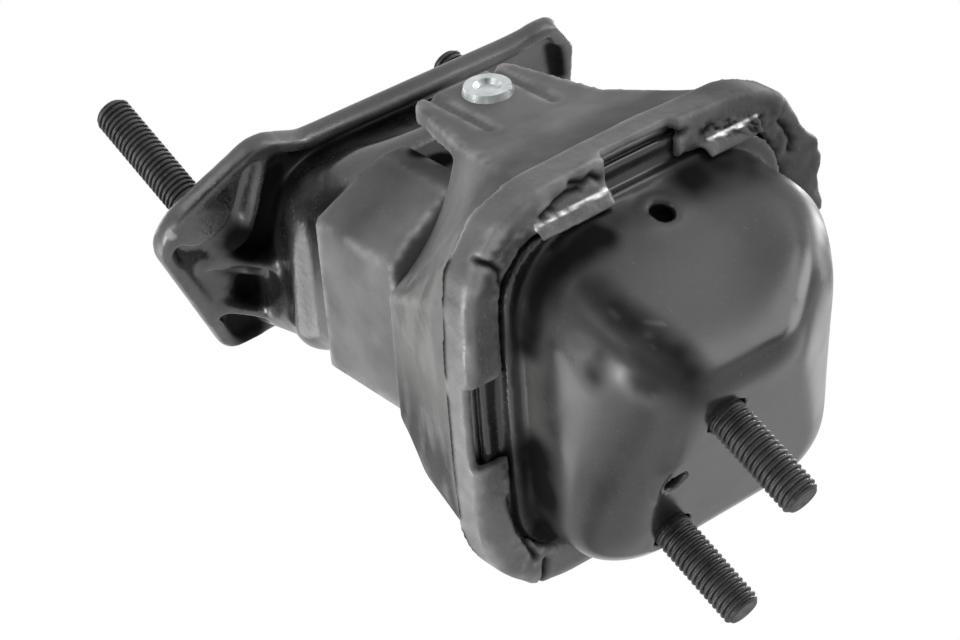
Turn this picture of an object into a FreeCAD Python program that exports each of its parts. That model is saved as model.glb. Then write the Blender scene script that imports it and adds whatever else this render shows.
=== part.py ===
import FreeCAD, Part
import math
import os

# Hydraulic engine mount: a cast upper bracket with two studs, a rubber spring bonded into a
# crimped steel housing, and a drawn steel cup below it with two more studs.
# Millimetres. Origin midway between the two lower studs on the cup's seat face, +Z up,
# +X along the line of the lower studs. The round body leans away from +Z by `lean`.

Vector = FreeCAD.Vector

os.makedirs("parts", exist_ok=True)

# Fasteners
stud_r = 4.925
stud_chamfer = 1.2
lower_stud_spacing = 46.4
lower_stud_length = 26.2
lower_stud_head_r = 6.0
lower_stud_head_height = 4.0
lower_stud_head_edge = 0.8
upper_stud_length = 36.5
upper_stud_grip = 5.4
stud_shoulder_r = 5.4

# How far a cutting tool reaches past the face that it cuts
cut_past = 1.0

# Body axis: where the housing's front plane stands and how far the axis leans from vertical
lean = 24.77
axis_x = -2.1
axis_y = 17.0
axis_z = 36.6

# Crimped steel housing
housing_half = 55.0
side_bulge_r = 570.0
corner_r = 27.0
housing_sheet = 2.5
skirt_depth = 9.35
tab_reach = 10.5
tab_bend_r = 2.2
window_half = 11.3
window_depth = 2.5
housing_length = 46.0
housing_flange_width = 5.0
housing_front_half = housing_half - housing_flange_width
housing_rear_side = 39.0
housing_rear_top = 40.5
housing_rear_bottom = 38.0
housing_rear_top_flat = 17.0
housing_rear_bottom_flat = 20.0
housing_rear_side_up = 10.0
housing_rear_side_down = 21.5
housing_rear_waist = 5.0
housing_rear_belly = -4.0
housing_mid_w = 34.0
housing_mid_side = 42.6
housing_mid_top = 43.6
housing_mid_bottom = 42.2
housing_mid_top_flat = 20.6
housing_mid_bottom_flat = 23.0
housing_mid_side_up = 15.9
housing_mid_side_down = 24.5
housing_mid_waist = 1.2
housing_mid_belly = -6.8

# Rubber shield over the housing, with its flap
shield_wall = 3.0
flap_thickness = 5.0
flap_root_half = 21.0
flap_tip_half = 15.0
flap_end = 66.0
flap_root = 40.0
flap_overlap = 20.0
flap_corner_r = 3.0
groove_offset = 10.0
groove_width = 2.6
groove_depth = 1.4
groove_start = 41.0

# Rivet that holds the flap
rivet_p = 1.5
rivet_w = 57.0
rivet_head_r = 6.5
rivet_head_height = 1.8
rivet_shank_r = 3.2
rivet_dish_r = 3.6
rivet_dish_depth = 1.2
rivet_tail_height = 1.2
rivet_tail_r = 4.6
rivet_head_taper = 0.6
rivet_dish_taper = 1.0
strap_width = 22.0
strap_end = 63.0

# Rubber sleeve round the bracket's neck
sleeve_half_p = 40.0
sleeve_top = 31.5
sleeve_bottom = 35.5
sleeve_top_flat = 21.0
sleeve_bottom_flat = 24.0
sleeve_side_up = 18.5
sleeve_side_down = 23.6
sleeve_swell = -0.6
sleeve_end = 77.0
sleeve_wall = 4.0
sleeve_edge_r = 2.5
sleeve_channel_half = 13.5
sleeve_top_end = 72.5

# Upper bracket
plate_z = 142.8
plate_rim_height = 6.0
plate_floor = 3.0
plate_rim_width = 4.0
plate_outline = (
    (-35.2, -53.0, 15.0), (-12.2, -23.0, 9.0), (-19.6, -7.0, 14.0), (-19.8, 63.0, 20.0),
    (-17.5, 75.8, 6.0), (-30.5, 85.8, 9.0), (-92.0, 102.5, 12.0), (-101.8, -18.0, 9.0))
neck_root_x = -64.5
neck_root_y = 17.0
neck_root_half_x = 35.5
neck_root_half_y = 29.0
neck_root_r = 14.0
core_half_p = 19.0
core_half_r = 16.0
core_end = 26.0
core_tip_half_p = 13.0
core_tip_r = 11.0
core_rounding = 0.8
boss_root_r = 8.8
boss_tip_r = 7.9
boss_end = 1.5
knob_x = -47.5
knob_y = -25.0
knob_root_r = 7.5
knob_tip_r = 3.0
knob_height = 4.6
rib_width = 4.0
rib_height = 4.6
root_sink = 0.5
upper_stud_1_x = -34.7
upper_stud_1_y = -36.8
upper_stud_2_x = -77.6
upper_stud_2_y = 85.3

# Lower cup
cup_sheet = 2.5
cup_flange_clearance = 2.5
cup_step_clearance = 0.3
cup_step_height = 0.8
cup_ledge_side = 4.7
cup_ledge_top = 1.4
cup_ledge_bottom = 0.7
cup_mouth_r = 20.0
cup_front_x = 41.0
cup_rear_x = -40.0
shoulder_lean = 16.0
shoulder_right_front = 41.5
shoulder_right_rear = 43.0
shoulder_left = 39.5
shoulder_right_front_r = 19.0
shoulder_left_front_r = 17.0
shoulder_left_rear_r = 17.0
shoulder_right_rear_r = 13.0
waist_lean = 8.0
waist_right_front = 27.5
waist_right_rear = 46.5
waist_left = 37.0
waist_right_front_r = 22.0
waist_left_front_r = 12.0
waist_left_rear_r = 17.0
waist_right_rear_r = 11.0
seat_x_min = -33.6
seat_x_max = 39.5
seat_y_min = -13.7
seat_y_front_right = 17.0
seat_y_rear_right = 53.0
seat_left_front_r = 8.0
seat_left_rear_r = 20.0
seat_right_front_r = 10.0
seat_right_rear_r = 11.0
seat_edge_r = 5.0
ramp_x = 38.0
ramp_bend_z = 44.0
ramp_top_x = 36.4
ramp_top_z = 60.0
ramp_edge_slope = 1.0
ramp_crease = (
    (-24.0, -6.0), (-12.0, -2.5), (4.0, 0.8), (17.0, 8.7), (29.0, 21.0), (46.0, 33.0), (60.0, 40.0))
vent_r = 3.0
vent_top_y = 15.0
vent_top_z = 45.6
vent_seat_x = 3.3
vent_seat_y = -8.3

# Fluid parts between the housing and the cup
rim_clearance = 0.8
track_rim = 1.85
track_clearance = 9.0
track_lower_height = 4.2
track_upper_height = 5.0
track_groove_r_in = 27.0
track_groove_r_out = 34.0
track_groove_depth = 3.2
track_groove_gap_angle = 24.0
track_port_r = 3.2
decoupler_r = 20.0
decoupler_thickness = 2.4
decoupler_clearance = 0.4
decoupler_hole_r = 2.2
decoupler_hole_circle = 12.0
decoupler_hole_count = 6
decoupler_edge = 0.8
diaphragm_clearance = 0.3
diaphragm_bead_in = 33.0
diaphragm_wall = 2.0
diaphragm_fold_r = 7.0
diaphragm_fold_slope = 2.3
spring_front_w = 20.0
spring_cavity_r = 36.0
spring_roof_r = 29.0
spring_cavity_depth = 9.0
spring_core_wall = 4.0
spring_core_cover = 11.0


def frame_at(lean_angle, x, y, z):
    """Placement whose own axes are across (+Y), up the leaning face, and out of the face."""
    c = math.cos(math.radians(lean_angle))
    s = math.sin(math.radians(lean_angle))
    return FreeCAD.Placement(FreeCAD.Matrix(0, c, s, x, 1, 0, 0, y, 0, s, -c, z, 0, 0, 0, 1))


body = frame_at(lean, axis_x, axis_y, axis_z)
seat = frame_at(0.0, 0.0, 0.0, 0.0)


def in_body(shape):
    """Move a shape drawn about the body axis into the part's frame."""
    moved = shape.copy()
    moved.Placement = body.multiply(moved.Placement)
    return moved


def arc(a, b, c):
    return Part.Arc(a, b, c).toShape()


def line(a, b):
    return Part.LineSegment(a, b).toShape()


def crimp_outline(half, w):
    """Bulged square of the crimped joint, as eight arcs, drawn inside or outside the skirt."""
    inset = housing_half - half
    side = side_bulge_r - inset
    corner = corner_r - inset
    m = side - half
    reach = side - corner
    k = (-m + math.sqrt(2 * reach ** 2 - m ** 2)) / 2
    near = side * k / reach
    far = side * (k + m) / reach - m
    diagonal = k + corner / math.sqrt(2)
    edges = []
    for quarter in range(4):
        turn = FreeCAD.Rotation(Vector(0, 0, 1), 90 * quarter)
        start = turn.multVec(Vector(far, -near, w))
        middle = turn.multVec(Vector(half, 0, w))
        end = turn.multVec(Vector(far, near, w))
        bend = turn.multVec(Vector(diagonal, diagonal, w))
        following = turn.multVec(Vector(near, far, w))
        edges.append(arc(start, middle, end))
        edges.append(arc(end, bend, following))
    return Part.Wire(edges)


def prism(wire, height):
    """Solid on a flat wire, grown along its own +Z."""
    return Part.Face(wire).extrude(Vector(0, 0, height))


def crimp_block(half, w_from, w_to):
    return prism(crimp_outline(half, w_from), w_to - w_from)


def waisted_outline(side, top, bottom, top_flat, bottom_flat, up, down, waist, belly, w):
    """Rear section of the housing: four flats joined by drawn-in or swelling corners."""
    def corner_point(a, b, sag):
        chord = b - a
        inward = Vector(-chord.y, chord.x, 0)
        inward.normalize()
        return (a + b) * 0.5 + inward * sag

    right_low = Vector(side, -down, w)
    right_high = Vector(side, up, w)
    top_right = Vector(top_flat, top, w)
    top_left = Vector(-top_flat, top, w)
    left_high = Vector(-side, up, w)
    left_low = Vector(-side, -down, w)
    bottom_left = Vector(-bottom_flat, -bottom, w)
    bottom_right = Vector(bottom_flat, -bottom, w)
    return Part.Wire([
        line(right_low, right_high),
        arc(right_high, corner_point(right_high, top_right, waist), top_right),
        line(top_right, top_left),
        arc(top_left, corner_point(top_left, left_high, waist), left_high),
        line(left_high, left_low),
        arc(left_low, corner_point(left_low, bottom_left, belly), bottom_left),
        line(bottom_left, bottom_right),
        arc(bottom_right, corner_point(bottom_right, right_low, belly), right_low),
    ])


def housing_shell(grow, w_front, w_rear):
    """Tapered solid that follows the housing's body, grown outward by `grow`."""
    front = crimp_outline(housing_front_half + grow, w_front)
    middle = waisted_outline(
        housing_mid_side + grow, housing_mid_top + grow, housing_mid_bottom + grow,
        housing_mid_top_flat + grow / 2, housing_mid_bottom_flat + grow / 2,
        housing_mid_side_up + grow / 2, housing_mid_side_down + grow / 2,
        housing_mid_waist, housing_mid_belly, -housing_mid_w)
    rear = waisted_outline(
        housing_rear_side + grow, housing_rear_top + grow, housing_rear_bottom + grow,
        housing_rear_top_flat + grow / 2, housing_rear_bottom_flat + grow / 2,
        housing_rear_side_up + grow / 2, housing_rear_side_down + grow / 2,
        housing_rear_waist, housing_rear_belly, w_rear)
    return Part.makeLoft([front, middle, rear], True, True)


def rounded_rectangle(half_u, half_v, r, w, mid_u=0.0, mid_v=0.0):
    """Rectangle with round corners as eight edges, starting on its +u side."""
    bend = r * (1 - 1 / math.sqrt(2))
    edges = []
    for u_sign, v_sign in ((1, 1), (-1, 1), (-1, -1), (1, -1)):
        on_side = Vector(u_sign * half_u, v_sign * (half_v - r), w)
        on_end = Vector(u_sign * (half_u - r), v_sign * half_v, w)
        bent = Vector(u_sign * (half_u - bend), v_sign * (half_v - bend), w)
        if u_sign == v_sign:
            before = Vector(on_side.x, -on_side.y, w)
            edges.append(line(before, on_side))
            edges.append(arc(on_side, bent, on_end))
        else:
            before = Vector(-on_end.x, on_end.y, w)
            edges.append(line(before, on_end))
            edges.append(arc(on_end, bent, on_side))
    wire = Part.Wire(edges)
    wire.translate(Vector(mid_u, mid_v, 0))
    return wire


def rounded_polygon(corners, w):
    """Closed outline through corners given as (x, y, radius)."""
    count = len(corners)
    tangents = []
    for i in range(count):
        here = Vector(corners[i][0], corners[i][1], w)
        back = Vector(corners[i - 1][0], corners[i - 1][1], w) - here
        ahead = Vector(corners[(i + 1) % count][0], corners[(i + 1) % count][1], w) - here
        back.normalize()
        ahead.normalize()
        half_angle = back.getAngle(ahead) / 2
        radius = corners[i][2]
        setback = radius / math.tan(half_angle)
        centre_way = back + ahead
        centre_way.normalize()
        centre = here + centre_way * (radius / math.sin(half_angle))
        middle = centre - centre_way * radius
        tangents.append((here + back * setback, middle, here + ahead * setback))
    edges = []
    for i in range(count):
        start, middle, end = tangents[i]
        edges.append(arc(start, middle, end))
        edges.append(line(end, tangents[(i + 1) % count][0]))
    return Part.Wire(edges)


def cylinder(r, p, q, w_from, w_to):
    low = min(w_from, w_to)
    return Part.makeCylinder(r, abs(w_to - w_from), Vector(p, q, low), Vector(0, 0, 1))


def box(u0, u1, v0, v1, w0, w1):
    return Part.makeBox(u1 - u0, v1 - v0, w1 - w0, Vector(u0, v0, w0))


# Sections shared by several pieces
flange_back = -skirt_depth
flange_face = flange_back + housing_sheet
stack_face = flange_face + track_rim
cup_flange_face = stack_face + cup_sheet
cup_flange_half = housing_half - housing_sheet - cup_flange_clearance
cup_step_half = housing_half - tab_reach - cup_step_clearance
track_half = housing_front_half - track_clearance
flap_top = housing_rear_top + flap_thickness
sleeve_front = -housing_length
plate_face = plate_z - plate_floor


def make_housing():
    """Drawn steel can: tapered body, flange, skirt and four crimped corner tabs."""
    body_outer = housing_shell(0.0, flange_back, -housing_length)
    body_inner = housing_shell(-housing_sheet, flange_back, -housing_length)
    flange = crimp_block(housing_half, flange_back, 0.0)
    flange = flange.cut(crimp_block(housing_front_half - housing_sheet, flange_back, flange_face))
    flange = flange.cut(crimp_block(housing_half - housing_sheet, flange_face, cup_flange_face))
    flange = flange.cut(crimp_block(housing_half - tab_reach, cup_flange_face, 0.0))
    bend_edges = []
    for edge in flange.Edges:
        bounds = edge.BoundBox
        if abs(bounds.ZMin) < 0.01 and abs(bounds.ZMax) < 0.01:
            if edge.CenterOfMass.Length > housing_half - tab_reach / 2:
                bend_edges.append(edge)
    flange = flange.makeFillet(tab_bend_r, bend_edges)
    reach = housing_half + cut_past
    for quarter in range(4):
        window = box(0, reach, -window_half, window_half, -window_depth, cut_past)
        window.rotate(Vector(0, 0, 0), Vector(0, 0, 1), 90 * quarter)
        flange = flange.cut(window)
    strap = box(-strap_width / 2, strap_width / 2, housing_rear_top - housing_sheet,
                housing_rear_top, -strap_end, -housing_length)
    return body_outer.cut(body_inner).fuse([flange, strap.cut(rivet_hole())]).removeSplitter()


def rivet_hole():
    """Hole for the rivet's shank, through both the strap and the flap."""
    return Part.makeCylinder(rivet_shank_r, flap_top, Vector(rivet_p, 0, -rivet_w), Vector(0, 1, 0))


def make_shield():
    """Rubber shield moulded to the housing, with a riveted flap along its top."""
    outer = housing_shell(shield_wall, flange_back, -housing_length)
    wide = flap_root_half
    narrow = flap_tip_half
    outline = rounded_polygon([
        (-narrow, -flap_end, flap_corner_r), (narrow, -flap_end, flap_corner_r),
        (wide, -flap_root, flap_corner_r), (wide, flap_overlap - flap_root, flap_corner_r),
        (-wide, flap_overlap - flap_root, flap_corner_r), (-wide, -flap_root, flap_corner_r)], 0)
    flap = prism(outline, flap_thickness)
    flap.rotate(Vector(0, 0, 0), Vector(1, 0, 0), 90)
    flap.translate(Vector(0, flap_top, 0))
    shield = outer.fuse(flap)
    for side in (-1, 1):
        mid = side * groove_offset
        groove = box(mid - groove_width / 2, mid + groove_width / 2,
                     flap_top - groove_depth, flap_top + groove_depth, -flap_end - cut_past, -groove_start)
        shield = shield.cut(groove)
    shield = shield.cut(housing_shell(0.0, flange_back, -housing_length))
    return shield.cut(rivet_hole()).removeSplitter()


def make_rivet():
    """Semi-tubular rivet: dished head on the flap, shank through the strap, rolled tail."""
    under = housing_rear_top - housing_sheet
    profile = [
        (0, under - rivet_tail_height), (rivet_tail_r, under - rivet_tail_height),
        (rivet_tail_r, under), (rivet_shank_r, under), (rivet_shank_r, flap_top),
        (rivet_head_r, flap_top), (rivet_head_r - rivet_head_taper, flap_top + rivet_head_height),
        (rivet_dish_r, flap_top + rivet_head_height),
        (rivet_dish_r - rivet_dish_taper, flap_top + rivet_head_height - rivet_dish_depth),
        (0, flap_top + rivet_head_height - rivet_dish_depth)]
    points = [Vector(a, b, 0) for a, b in profile]
    wire = Part.makePolygon(points + [points[0]])
    rivet = Part.Face(wire).revolve(Vector(0, 0, 0), Vector(0, 1, 0), 360)
    rivet.translate(Vector(rivet_p, 0, -rivet_w))
    return rivet


def sleeve_section(inset, w):
    return waisted_outline(
        sleeve_half_p - inset, sleeve_top - inset, sleeve_bottom - inset,
        sleeve_top_flat - inset / 2, sleeve_bottom_flat - inset / 2,
        sleeve_side_up - inset / 2, sleeve_side_down - inset / 2, sleeve_swell, sleeve_swell, w)


def neck_solid():
    """Cast neck from the plate down to the sleeve, then the core bonded into the spring."""
    root = rounded_rectangle(neck_root_half_y, neck_root_half_x, neck_root_r, 0.0,
                             neck_root_y, neck_root_x)
    root.Placement = frame_at(0.0, 0.0, 0.0, plate_face).multiply(root.Placement)
    rim = sleeve_section(sleeve_wall, -sleeve_end)
    middle = rounded_rectangle(core_half_p, core_half_r, core_half_r * core_rounding, -housing_length)
    tip = rounded_rectangle(core_tip_half_p, core_tip_r, core_tip_r * core_rounding, -core_end)
    neck = Part.makeLoft([root, in_body(rim)], True, True)
    core = Part.makeLoft([rim, middle, tip], True, True)
    return neck.fuse(in_body(core))


def make_bracket():
    outline = rounded_polygon(plate_outline, plate_z - plate_rim_height)
    top = prism(outline, plate_rim_height)
    pocket = Part.Face(outline).makeOffset2D(-plate_rim_width).extrude(Vector(0, 0, plate_rim_height - plate_floor))
    plate = top.cut(pocket)
    added = [neck_solid()]
    for x, y in upper_stud_places:
        boss_tip = plate_z - upper_stud_grip - boss_end
        height = plate_face + root_sink - boss_tip
        added.append(Part.makeCone(boss_tip_r, boss_root_r, height, Vector(x, y, boss_tip)))
    for x0, y0, x1, y1 in rib_lines:
        added.append(rib(x0, y0, x1, y1))
    knob_end = Vector(knob_x, knob_y, plate_face - knob_height)
    added.append(Part.makeCone(knob_tip_r, knob_root_r, knob_height + root_sink, knob_end))
    bracket = plate.fuse(added)
    for x, y in upper_stud_places:
        hole_end = Vector(x, y, plate_z - upper_stud_grip)
        bracket = bracket.cut(Part.makeCylinder(stud_shoulder_r, upper_stud_grip + cut_past, hole_end))
    return bracket.removeSplitter()


def rib(x0, y0, x1, y1):
    """Upright web on the plate's floor, full height at its first end, low at its second."""
    along = Vector(x1 - x0, y1 - y0, 0)
    length = along.Length
    along.normalize()
    across = Vector(-along.y, along.x, 0) * (rib_width / 2)
    start = Vector(x0, y0, plate_face + root_sink)
    end = start + along * length
    tall = Vector(0, 0, -rib_height - root_sink)
    low = Vector(0, 0, plate_floor - plate_rim_height - root_sink)
    side = [start - across, end - across, end - across + low, start - across + tall]
    face = Part.Face(Part.makePolygon(side + [side[0]]))
    return face.extrude(across * 2)


upper_stud_places = (
    (upper_stud_1_x, upper_stud_1_y),
    (upper_stud_2_x, upper_stud_2_y),
)
rib_lines = (
    (-46.0, -22.0, -16.0, -21.0),
    (-71.0, -9.0, -54.0, -32.0),
    (-84.0, -10.0, -78.0, -25.0),
)


def make_sleeve():
    """Rubber snubber sleeve that fills the space between the neck and the shield's rear."""
    sleeve = prism(sleeve_section(0.0, -sleeve_end), sleeve_end - housing_length)
    long_edges = []
    for edge in sleeve.Edges:
        if abs(edge.BoundBox.ZLength - (sleeve_end - housing_length)) < 0.01:
            long_edges.append(edge)
    sleeve = sleeve.makeFillet(sleeve_edge_r, long_edges)
    top = box(-sleeve_half_p, sleeve_half_p, sleeve_side_up, sleeve_top + sleeve_wall,
              -sleeve_end - sleeve_wall, -sleeve_top_end)
    slope = math.degrees(math.atan2(sleeve_end - sleeve_top_end, sleeve_top - sleeve_side_up))
    top.rotate(Vector(0, sleeve_top, -sleeve_top_end), Vector(1, 0, 0), slope)
    channel = box(-sleeve_channel_half, sleeve_channel_half, sleeve_top - sleeve_wall,
                  sleeve_top + cut_past, -sleeve_end - cut_past, cut_past - housing_length)
    sleeve = in_body(sleeve.cut(top).cut(channel))
    return sleeve.cut(neck_solid())


def make_spring():
    """Rubber spring bonded between the housing's wall and the neck's core."""
    spring = housing_shell(-housing_sheet, flange_back, -housing_length)
    spring = spring.cut(crimp_block(housing_half, -spring_front_w, skirt_depth))
    cavity = Part.makeCone(spring_cavity_r, spring_roof_r, spring_cavity_depth,
                           Vector(0, 0, -spring_front_w), Vector(0, 0, -1))
    core_cover = Part.makeCylinder(core_tip_half_p + spring_core_wall, spring_core_cover,
                                   Vector(0, 0, -core_end), Vector(0, 0, -1))
    spring = spring.cut(cavity.cut(core_cover))
    return in_body(spring).cut(neck_solid())


def flow_holes(r, w_from, w_to):
    holes = [cylinder(r, 0, 0, w_from, w_to)]
    for i in range(decoupler_hole_count):
        angle = 2 * math.pi * i / decoupler_hole_count
        p = decoupler_hole_circle * math.cos(angle)
        q = decoupler_hole_circle * math.sin(angle)
        holes.append(cylinder(r, p, q, w_from, w_to))
    return holes


def track_groove(w_from, w_to):
    """Nearly full ring that the fluid runs round, closed by a short wall."""
    groove = cylinder(track_groove_r_out, 0, 0, w_from, w_to)
    groove = groove.cut(cylinder(track_groove_r_in, 0, 0, w_from - cut_past, w_to + cut_past))
    half_wall = track_groove_r_in * math.tan(math.radians(track_groove_gap_angle / 2))
    wall = box(0, track_groove_r_out + cut_past, -half_wall, half_wall, w_from - cut_past, w_to + cut_past)
    return groove.cut(wall)


def port(angle, w_from, w_to):
    mid = (track_groove_r_in + track_groove_r_out) / 2
    a = math.radians(angle)
    return cylinder(track_port_r, mid * math.cos(a), mid * math.sin(a), w_from, w_to)


def make_track_lower():
    """Lower half of the fluid track: rim gripped by the crimp, grid under the decoupler."""
    plate = crimp_block(housing_half - housing_sheet - rim_clearance, flange_face, stack_face)
    plate = plate.fuse(crimp_block(track_half, track_split, flange_face))
    room = cylinder(decoupler_r + decoupler_clearance, 0, 0, track_split, decoupler_floor)
    plate = plate.cut(room)
    plate = plate.cut(flow_holes(decoupler_hole_r, track_split - cut_past, stack_face + cut_past))
    return plate.cut(port(track_groove_gap_angle, track_split - cut_past, stack_face + cut_past))


def make_track_upper():
    """Upper half of the fluid track, with the groove cut in its meeting face."""
    plate = crimp_block(track_half, track_top, track_split)
    plate = plate.cut(track_groove(track_split - track_groove_depth, track_split))
    room = cylinder(decoupler_r + decoupler_clearance, 0, 0, decoupler_roof, track_split)
    plate = plate.cut(room)
    plate = plate.cut(flow_holes(decoupler_hole_r, track_top - cut_past, track_split + cut_past))
    return plate.cut(port(-track_groove_gap_angle, track_top - cut_past, track_split - cut_past))


def make_decoupler():
    """Rubber disc that floats between the two grids."""
    low = decoupler_roof + decoupler_clearance
    disc = cylinder(decoupler_r, 0, 0, low, low + decoupler_thickness)
    rims = [edge for edge in disc.Edges if edge.BoundBox.ZLength < decoupler_clearance]
    return disc.makeChamfer(decoupler_edge, rims)


def make_diaphragm():
    """Folded rubber bellows with a thick bead that the cup's step presses on the track."""
    top = stack_face + diaphragm_bead_height
    bead = crimp_block(cup_step_half - cup_sheet - diaphragm_clearance, stack_face, top)
    bead = bead.cut(cylinder(diaphragm_bead_in, 0, 0, stack_face - cut_past, top + cut_past))
    wall = diaphragm_wall
    fold_out = diaphragm_bead_in
    fold_in = fold_out - 2 * diaphragm_fold_r
    crest = top + diaphragm_fold_r
    profile = [
        (0, top - wall), (fold_in - wall, top - wall), (fold_in + diaphragm_fold_slope, crest - wall),
        (fold_out - diaphragm_fold_slope - wall, crest - wall), (fold_out - wall, top - wall),
        (fold_out, top - wall), (fold_out, top),
        (fold_out - diaphragm_fold_slope, crest), (fold_in + diaphragm_fold_slope - wall, crest), (fold_in - 2 * wall, top), (0, top)]
    points = [Vector(a, 0, b) for a, b in profile]
    bellows = Part.Face(Part.makePolygon(points + [points[0]]))
    return bead.fuse(bellows.revolve(Vector(0, 0, 0), Vector(0, 0, 1), 360)).removeSplitter()


def cup_section(right_front, right_rear, left, front, rear, radii, w):
    """Four-cornered section of the cup's wall, drawn across (u) and up (v) at height w."""
    right_front_r, left_front_r, left_rear_r, right_rear_r = radii
    return rounded_polygon([
        (right_front, front, right_front_r), (-left, front, left_front_r),
        (-left, -rear, left_rear_r), (right_rear, -rear, right_rear_r)], w)


def leaning_section(lean_angle, right_front, right_rear, left, radii, sheet):
    """Section of the cup on a plane that turns about the hinge between mouth and seat."""
    stretch = 1 / math.cos(math.radians(lean_angle))
    front = (cup_front_x - sheet - hinge_x) * stretch
    rear = (hinge_x - cup_rear_x - sheet) * stretch
    section = cup_section(right_front - sheet, right_rear - sheet, left - sheet, front, rear,
                          [r - sheet for r in radii], 0.0)
    section.Placement = frame_at(lean_angle, hinge_x, axis_y, 0.0).multiply(section.Placement)
    return section


def cup_wall_solid(sheet, w_mouth):
    """Drawn wall of the cup as a solid: mouth, two leaning sections and the level seat."""
    edge = cup_step_half - sheet
    side = edge - cup_ledge_side
    mouth = cup_section(side, side, side, edge - cup_ledge_top, edge - cup_ledge_bottom,
                        [cup_mouth_r - sheet] * 4, w_mouth)
    shoulder = leaning_section(
        shoulder_lean, shoulder_right_front, shoulder_right_rear, shoulder_left,
        [shoulder_right_front_r, shoulder_left_front_r, shoulder_left_rear_r,
         shoulder_right_rear_r], sheet)
    waist = leaning_section(
        waist_lean, waist_right_front, waist_right_rear, waist_left,
        [waist_right_front_r, waist_left_front_r, waist_left_rear_r, waist_right_rear_r], sheet)
    front = seat_x_max - sheet
    rear = seat_x_min + sheet
    slant = (seat_y_rear_right - seat_y_front_right) / (seat_x_max - seat_x_min)
    inset = sheet * math.sqrt(1 + slant ** 2)
    level = rounded_polygon([
        (seat_y_front_right + slant * sheet - inset, front, seat_right_front_r - sheet),
        (seat_y_min + sheet, front, seat_left_front_r - sheet),
        (seat_y_min + sheet, rear, seat_left_rear_r - sheet),
        (seat_y_rear_right - slant * sheet - inset, rear, seat_right_rear_r - sheet)], -sheet)
    level.Placement = seat.multiply(level.Placement)
    wall = Part.makeLoft([in_body(mouth), shoulder, waist, level], True, True)
    seat_edges = []
    for edge in wall.Edges:
        if abs(edge.BoundBox.ZMin - sheet) < 0.01 and abs(edge.BoundBox.ZMax - sheet) < 0.01:
            seat_edges.append(edge)
    return wall.makeFillet(seat_edge_r - sheet, seat_edges)


def crease_wire(x, sheet, spread):
    """Outline of the ramp at depth x, with its curved crease moved outward by spread."""
    crease = [Vector(x, y + sheet + spread, z - sheet - spread) for y, z in ramp_crease]
    curve = Part.BSplineCurve()
    curve.interpolate(crease)
    high_right = Vector(x, crease[-1].y, ramp_top_z)
    high_left = Vector(x, crease[0].y, ramp_top_z)
    return Part.Wire([curve.toShape(), line(crease[-1], high_right),
                      line(high_right, high_left), line(high_left, crease[0])])


def ramp_tool(sheet):
    """Everything in front of the flat ramp, bounded on its right by a sloping curved edge."""
    near = ramp_top_x - sheet
    far = 2 * seat_x_max
    low = -ramp_top_z
    bounded = Part.makeLoft([
        crease_wire(near, sheet, 0.0),
        crease_wire(far, sheet, (far - near) * ramp_edge_slope)], True, True)
    profile = [Vector(ramp_x - sheet, -far, low), Vector(ramp_x - sheet, -far, ramp_bend_z),
               Vector(ramp_top_x - sheet, -far, ramp_top_z), Vector(far, -far, ramp_top_z),
               Vector(far, -far, low)]
    ahead = Part.Face(Part.makePolygon(profile + [profile[0]])).extrude(Vector(0, 2 * far, 0))
    return bounded.common(ahead)


def make_cup():
    """Drawn steel cup: crimped flange, step, tapered wall, ramp and level seat with studs."""
    flange = crimp_block(cup_flange_half, stack_face, cup_flange_face)
    step = crimp_block(cup_step_half, stack_face, cup_step_height)
    wall = cup_wall_solid(0.0, cup_step_height)
    wall = wall.cut(ramp_tool(0.0))
    outer = in_body(flange.fuse(step)).fuse(wall)
    pocket = in_body(crimp_block(cup_step_half - cup_sheet, stack_face, cup_step_height - cup_sheet))
    inner = cup_wall_solid(cup_sheet, cup_step_height - cup_sheet)
    inner = inner.cut(ramp_tool(cup_sheet))
    cup = outer.cut(pocket).cut(inner)
    drill = cup_sheet + 2 * cut_past
    for x, y in lower_stud_places:
        cup = cup.cut(Part.makeCylinder(stud_shoulder_r, drill, Vector(x, y, -cut_past)))
    cup = cup.cut(Part.makeCylinder(vent_r, drill, Vector(vent_seat_x, vent_seat_y, -cut_past)))
    vent_start = Vector(ramp_x - cup_sheet - cut_past, vent_top_y, vent_top_z)
    return cup.cut(Part.makeCylinder(vent_r, drill, vent_start, Vector(1, 0, 0))).removeSplitter()


def threaded_end(length, plain):
    """Outline of a stud below z=0: chamfered thread, then the plain shank up to `plain`."""
    return [
        (0, -length), (stud_r - stud_chamfer, -length), (stud_r, stud_chamfer - length),
        (stud_r, 0), (stud_shoulder_r, 0), (stud_shoulder_r, plain)]


def turned(profile):
    points = [Vector(a, 0, b) for a, b in profile]
    face = Part.Face(Part.makePolygon(points + [points[0]]))
    return face.revolve(Vector(0, 0, 0), Vector(0, 0, 1), 360)


def make_lower_stud(x, y):
    """Stud whose round head bears on the inside of the cup."""
    head_top = cup_sheet + lower_stud_head_height
    piece = turned(threaded_end(lower_stud_length, cup_sheet) + [
        (lower_stud_head_r - lower_stud_head_edge, cup_sheet),
        (lower_stud_head_r, cup_sheet + lower_stud_head_edge),
        (lower_stud_head_r, head_top), (0, head_top)])
    piece.translate(Vector(x, y, 0))
    return piece


def make_upper_stud(x, y):
    """Stud gripped in the bracket's blind boss."""
    piece = turned(threaded_end(upper_stud_length, upper_stud_grip) + [(0, upper_stud_grip)])
    piece.rotate(Vector(0, 0, 0), Vector(1, 0, 0), 180)
    piece.translate(Vector(x, y, plate_z))
    return piece


# Where the mouth's plane and the seat's plane meet, behind the cup
hinge_x = axis_x - axis_z / math.tan(math.radians(lean))

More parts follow.
